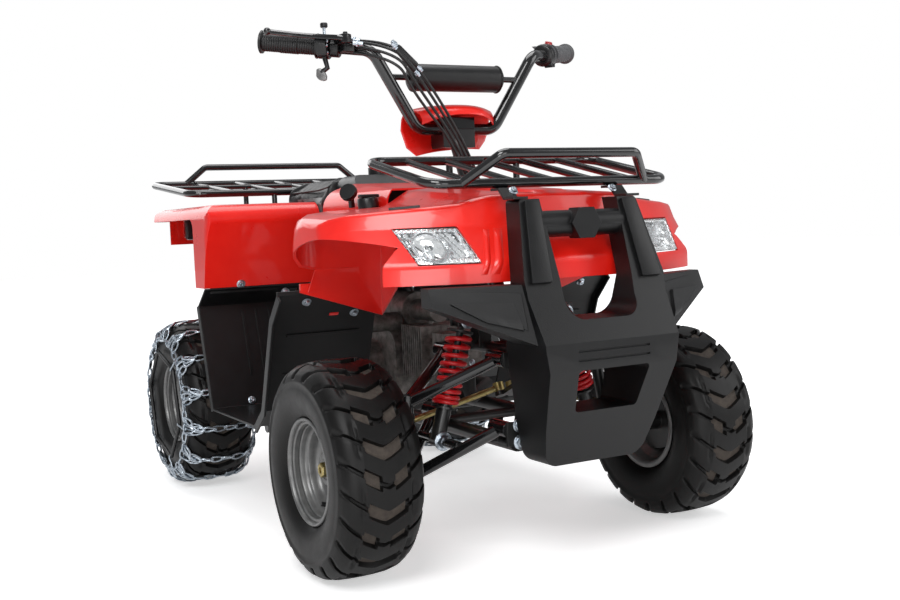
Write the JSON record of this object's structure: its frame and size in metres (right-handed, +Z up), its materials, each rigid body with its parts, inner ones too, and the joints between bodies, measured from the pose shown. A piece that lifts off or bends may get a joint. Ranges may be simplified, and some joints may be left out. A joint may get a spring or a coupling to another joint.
{
  "type": "quad bike",
  "caption": "Small utility quad bike with red bodywork, tube racks front and rear, a moulded bumper, handlebar steering, rolling wheels and snow chains on the rear tyres.",
  "frame": {"origin": "on the ground at mid wheelbase, in the middle plane, which is the bottom centre of the bounding box", "axes": "+Z up, the front faces -Y, +X to the rider's left; the wheels turn about X"},
  "size_m": [0.8308, 1.46, 0.9268],
  "materials": {
    "red_plastic": "gloss moulded plastic, coloured through",
    "black_plastic": "grained moulded plastic",
    "tank_plastic": "gloss black and grey plastic",
    "black_tube": "gloss black enamel on steel tube",
    "frame_paint": "satin black enamel on steel",
    "arm_paint": "gloss black enamel on steel",
    "cast_aluminium": "as cast alloy",
    "carb_metal": "die cast alloy and black rubber",
    "exhaust_steel": "heat resistant matt black",
    "chain_steel": "oiled steel chain",
    "galvanised": "bright zinc plated steel wire",
    "damper_steel": "painted and plated steel",
    "red_spring": "red powder coated spring wire",
    "knuckle_iron": "black enamelled forging",
    "zinc_rod": "yellow zinc plated steel",
    "rim_steel": "silver grey painted pressed steel",
    "axle_steel": "turned steel",
    "tyre_rubber": "black tyre rubber",
    "lamp_lens": "clear lens over a bright reflector",
    "tail_lens": "red lens in a grey holder",
    "seat_cover": "black grained vinyl",
    "grip_rubber": "ribbed black rubber",
    "pad_foam": "black foam in a vinyl sleeve",
    "control_plastic": "black moulded switch plastic",
    "lever_alloy": "black painted alloy",
    "cable_cover": "black cable outer"
  },
  "bodies": {
    "chassis": {"frame": "frame_paint", "engine_case": "cast_aluminium", "engine_barrel": "cast_aluminium", "carburettor": "carb_metal", "exhaust": "exhaust_steel", "drive_chain": "chain_steel", "dampers": "damper_steel", "springs": "red_spring", "lower_arms": "arm_paint", "upper_arms": "arm_paint", "swingarm": "arm_paint", "front_body": "red_plastic", "rear_body": "red_plastic", "headlights": "lamp_lens", "tail_lamps": "tail_lens", "seat": "seat_cover", "tank_cover": "tank_plastic", "footwells": "black_plastic", "front_bumper": "black_plastic", "front_rack": "black_tube", "rack_brackets": "black_tube", "rear_rack": "black_tube"},
    "steering": {"steering_column": "frame_paint", "handlebar": "black_tube", "bar_pad": "pad_foam", "grips": "grip_rubber", "switch_box": "control_plastic", "throttle_box": "control_plastic", "brake_lever": "lever_alloy", "bar_cover": "red_plastic", "control_cables": "cable_cover"},
    "knuckle_right": {"knuckle_right": "knuckle_iron"},
    "knuckle_left": {"knuckle_left": "knuckle_iron"},
    "tie_rod_right": {"tie_rod_right": "zinc_rod"},
    "tie_rod_left": {"tie_rod_left": "zinc_rod"},
    "front_wheel_right": {"front_rim_right": "rim_steel", "front_tyre_right": "tyre_rubber"},
    "front_wheel_left": {"front_rim_left": "rim_steel", "front_tyre_left": "tyre_rubber"},
    "rear_wheels": {"rear_axle": "axle_steel", "rear_rims": "rim_steel", "rear_tyre_right": "tyre_rubber", "rear_tyre_left": "tyre_rubber", "snow_chain_right": "galvanised", "snow_chain_left": "galvanised"}
  },
  "joints": [
    {"name": "steer", "type": "hinge", "parent": "chassis", "child": "steering", "pos_m": [0, -0.25, 0.742], "axis": [0, 0.4199, 0.9076], "range_deg": [-30, 30]},
    {"name": "knuckle_right", "type": "hinge", "parent": "chassis", "child": "knuckle_right", "pos_m": [-0.232, -0.435, 0.142], "axis": [0.1104, 0, 0.9939], "range_deg": [-31, 31]},
    {"name": "tie_rod_right", "type": "hinge", "parent": "steering", "child": "tie_rod_right", "pos_m": [-0.013, -0.40473, 0.25996], "axis": [0, 0.4199, 0.9076], "range_deg": [-31, 31]},
    {"name": "front_wheel_right", "type": "hinge", "parent": "knuckle_right", "child": "front_wheel_right", "pos_m": [-0.338, -0.435, 0.178], "axis": [1, 0, 0], "continuous": true},
    {"name": "knuckle_left", "type": "hinge", "parent": "chassis", "child": "knuckle_left", "pos_m": [0.232, -0.435, 0.142], "axis": [-0.1104, 0, 0.9939], "range_deg": [-31, 31]},
    {"name": "tie_rod_left", "type": "hinge", "parent": "steering", "child": "tie_rod_left", "pos_m": [0.013, -0.40473, 0.25996], "axis": [0, 0.4199, 0.9076], "range_deg": [-31, 31]},
    {"name": "front_wheel_left", "type": "hinge", "parent": "knuckle_left", "child": "front_wheel_left", "pos_m": [0.338, -0.435, 0.178], "axis": [1, 0, 0], "continuous": true},
    {"name": "rear_wheels", "type": "hinge", "parent": "chassis", "child": "rear_wheels", "pos_m": [0, 0.435, 0.186], "axis": [1, 0, 0], "continuous": true}
  ],
  "couplings": [
    {"joint": "knuckle_right", "follows": "steer", "ratio": 1},
    {"joint": "tie_rod_right", "follows": "steer", "ratio": -1},
    {"joint": "knuckle_left", "follows": "steer", "ratio": 1},
    {"joint": "tie_rod_left", "follows": "steer", "ratio": -1}
  ]
}
